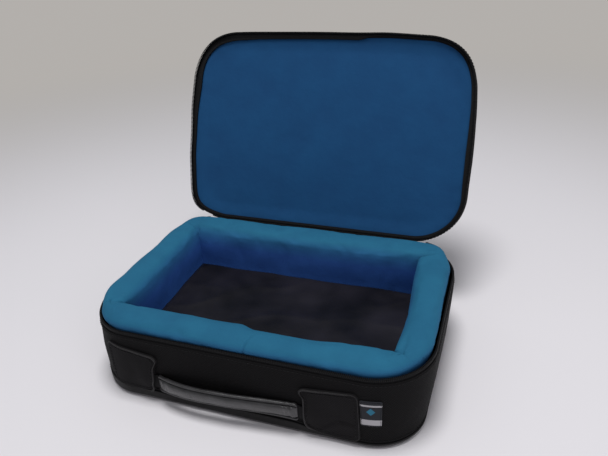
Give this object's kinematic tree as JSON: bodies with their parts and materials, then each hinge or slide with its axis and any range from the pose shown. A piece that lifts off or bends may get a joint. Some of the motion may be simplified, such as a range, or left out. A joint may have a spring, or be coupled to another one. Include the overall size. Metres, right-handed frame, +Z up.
{
  "type": "soft camera case",
  "caption": "Soft padded camera case with rounded corners, a zipped hinged lid standing open, blue padded walls round a cavity and a front handle.",
  "frame": {"origin": "centre of the flat bottom, on the surface the case stands on", "axes": "+Z up, +X along the case's length to the right as seen from the handle side, -Y towards the handle"},
  "size_m": [0.36, 0.3649, 0.3061],
  "materials": {
    "woven_cover": "matte",
    "piping": "satin",
    "binding": "matte",
    "webbing": "matte",
    "nylon": "satin",
    "blue_lining": "matte",
    "lid_lining": "matte",
    "foam": "matte",
    "stiffening_board": "matte",
    "wall_board": "matte",
    "zipper_chain": "satin",
    "slider_metal": "satin",
    "vinyl": "satin",
    "label": "matte"
  },
  "bodies": {
    "base": {"base_zipper_chain": "zipper_chain", "base_zipper_tape": "webbing", "bottom_board": "stiffening_board", "bottom_cover": "woven_cover", "bottom_piping": "piping", "floor_cover": "nylon", "floor_foam": "foam", "handle_strap_end_left": "webbing", "handle_strap_end_right": "webbing", "handle_tab_binding_left": "binding", "handle_tab_binding_right": "binding", "handle_tab_left": "woven_cover", "handle_tab_right": "woven_cover", "hinge_strip": "woven_cover", "label": "label", "pad_cover_front": "blue_lining", "pad_cover_left": "blue_lining", "pad_cover_rear": "blue_lining", "pad_cover_right": "blue_lining", "pad_foam_front": "foam", "pad_foam_left": "foam", "pad_foam_rear": "foam", "pad_foam_right": "foam", "wall_binding": "binding", "wall_board": "wall_board", "wall_cover": "woven_cover", "zipper_end_tab_left": "webbing", "zipper_end_tab_right": "webbing"},
    "lid": {"lid_cover": "woven_cover", "lid_board": "stiffening_board", "lid_piping": "piping", "lid_wall_cover": "woven_cover", "lid_wall_board": "wall_board", "lid_binding": "binding", "lid_foam": "foam", "lid_lining": "lid_lining", "lid_zipper_tape": "webbing", "lid_zipper_chain": "zipper_chain"},
    "handle": {"handle_sleeve": "vinyl", "handle_padding": "foam", "handle_strap": "webbing"},
    "slider_left": {"slider_left": "slider_metal"},
    "slider_right": {"slider_right": "slider_metal"},
    "pull_left": {"pull_tab_left": "slider_metal"},
    "pull_right": {"pull_tab_right": "slider_metal"}
  },
  "joints": [
    {"name": "lid_hinge", "type": "hinge", "parent": "base", "child": "lid", "pos_m": [0, 0.1207, 0.084], "axis": [-1, 0, 0], "range_deg": [-112.3, 60], "deforming": ["hinge_strip"]},
    {"name": "handle_pull", "type": "slide", "parent": "base", "child": "handle", "axis": [0, -1, 0], "range_m": [0, 0.022], "stiffness_N_per_m": 60, "deforming": ["handle_strap_end_left", "handle_strap_end_right"]},
    {"name": "slider_left_run", "type": "hinge", "parent": "base", "child": "slider_left", "pos_m": [-0.12, 0.06, 0.084], "axis": [0, 0, 1], "range_deg": [0, 62]},
    {"name": "pull_left_swing", "type": "hinge", "parent": "slider_left", "child": "pull_left", "pos_m": [-0.14608, 0.11724, 0.084], "axis": [-0.91, -0.4147, 0], "range_deg": [-85, 0]},
    {"name": "slider_right_run", "type": "hinge", "parent": "base", "child": "slider_right", "pos_m": [0.12, 0.06, 0.084], "axis": [0, 0, -1], "range_deg": [0, 62]},
    {"name": "pull_right_swing", "type": "hinge", "parent": "slider_right", "child": "pull_right", "pos_m": [0.14608, 0.11724, 0.084], "axis": [-0.91, 0.4147, 0], "range_deg": [-85, 0]}
  ]
}
